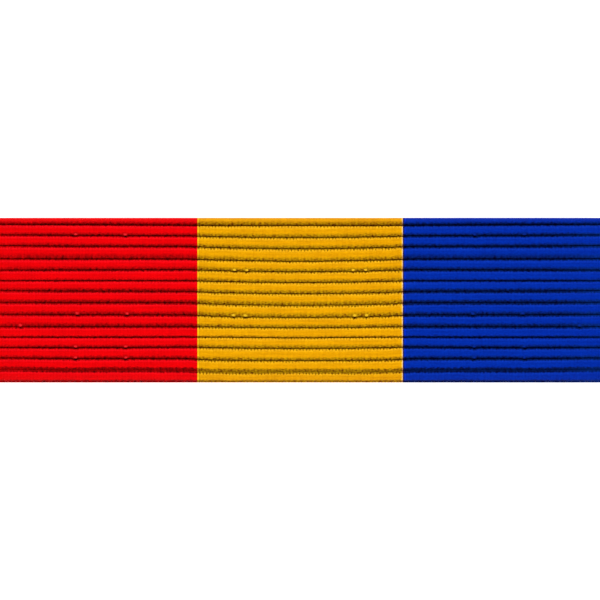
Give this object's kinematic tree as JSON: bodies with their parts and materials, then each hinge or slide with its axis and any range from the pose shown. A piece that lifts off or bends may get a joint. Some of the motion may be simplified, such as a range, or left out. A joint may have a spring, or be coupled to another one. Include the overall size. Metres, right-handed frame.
{
  "type": "ribbon bar",
  "caption": "Flat uniform ribbon bar: a ribbed red, gold and blue striped ribbon folded round a brass carrier, with a pin clasp behind it for fastening to cloth.",
  "frame": {"origin": "centre of the bar on the surface that it lies on, face up, under the middle of its bounding box", "axes": "+X along the bar to the wearer's left, with the red stripe at -X and the blue stripe at +X; +Y up as worn; +Z out of the ribbon's face"},
  "size_m": [0.035, 0.0096, 0.0057],
  "materials": {
    "ribbon_cloth": "ribbed woven ribbon in red, gold and blue stripes, with a low silky sheen",
    "carrier_brass": "rolled sheet brass, slightly dulled",
    "pin_bar_brass": "brushed brass with soldered joints"
  },
  "bodies": {
    "root": {"ribbon": "ribbon_cloth", "carrier": "carrier_brass", "pin_bar": "pin_bar_brass"}
  },
  "joints": []
}
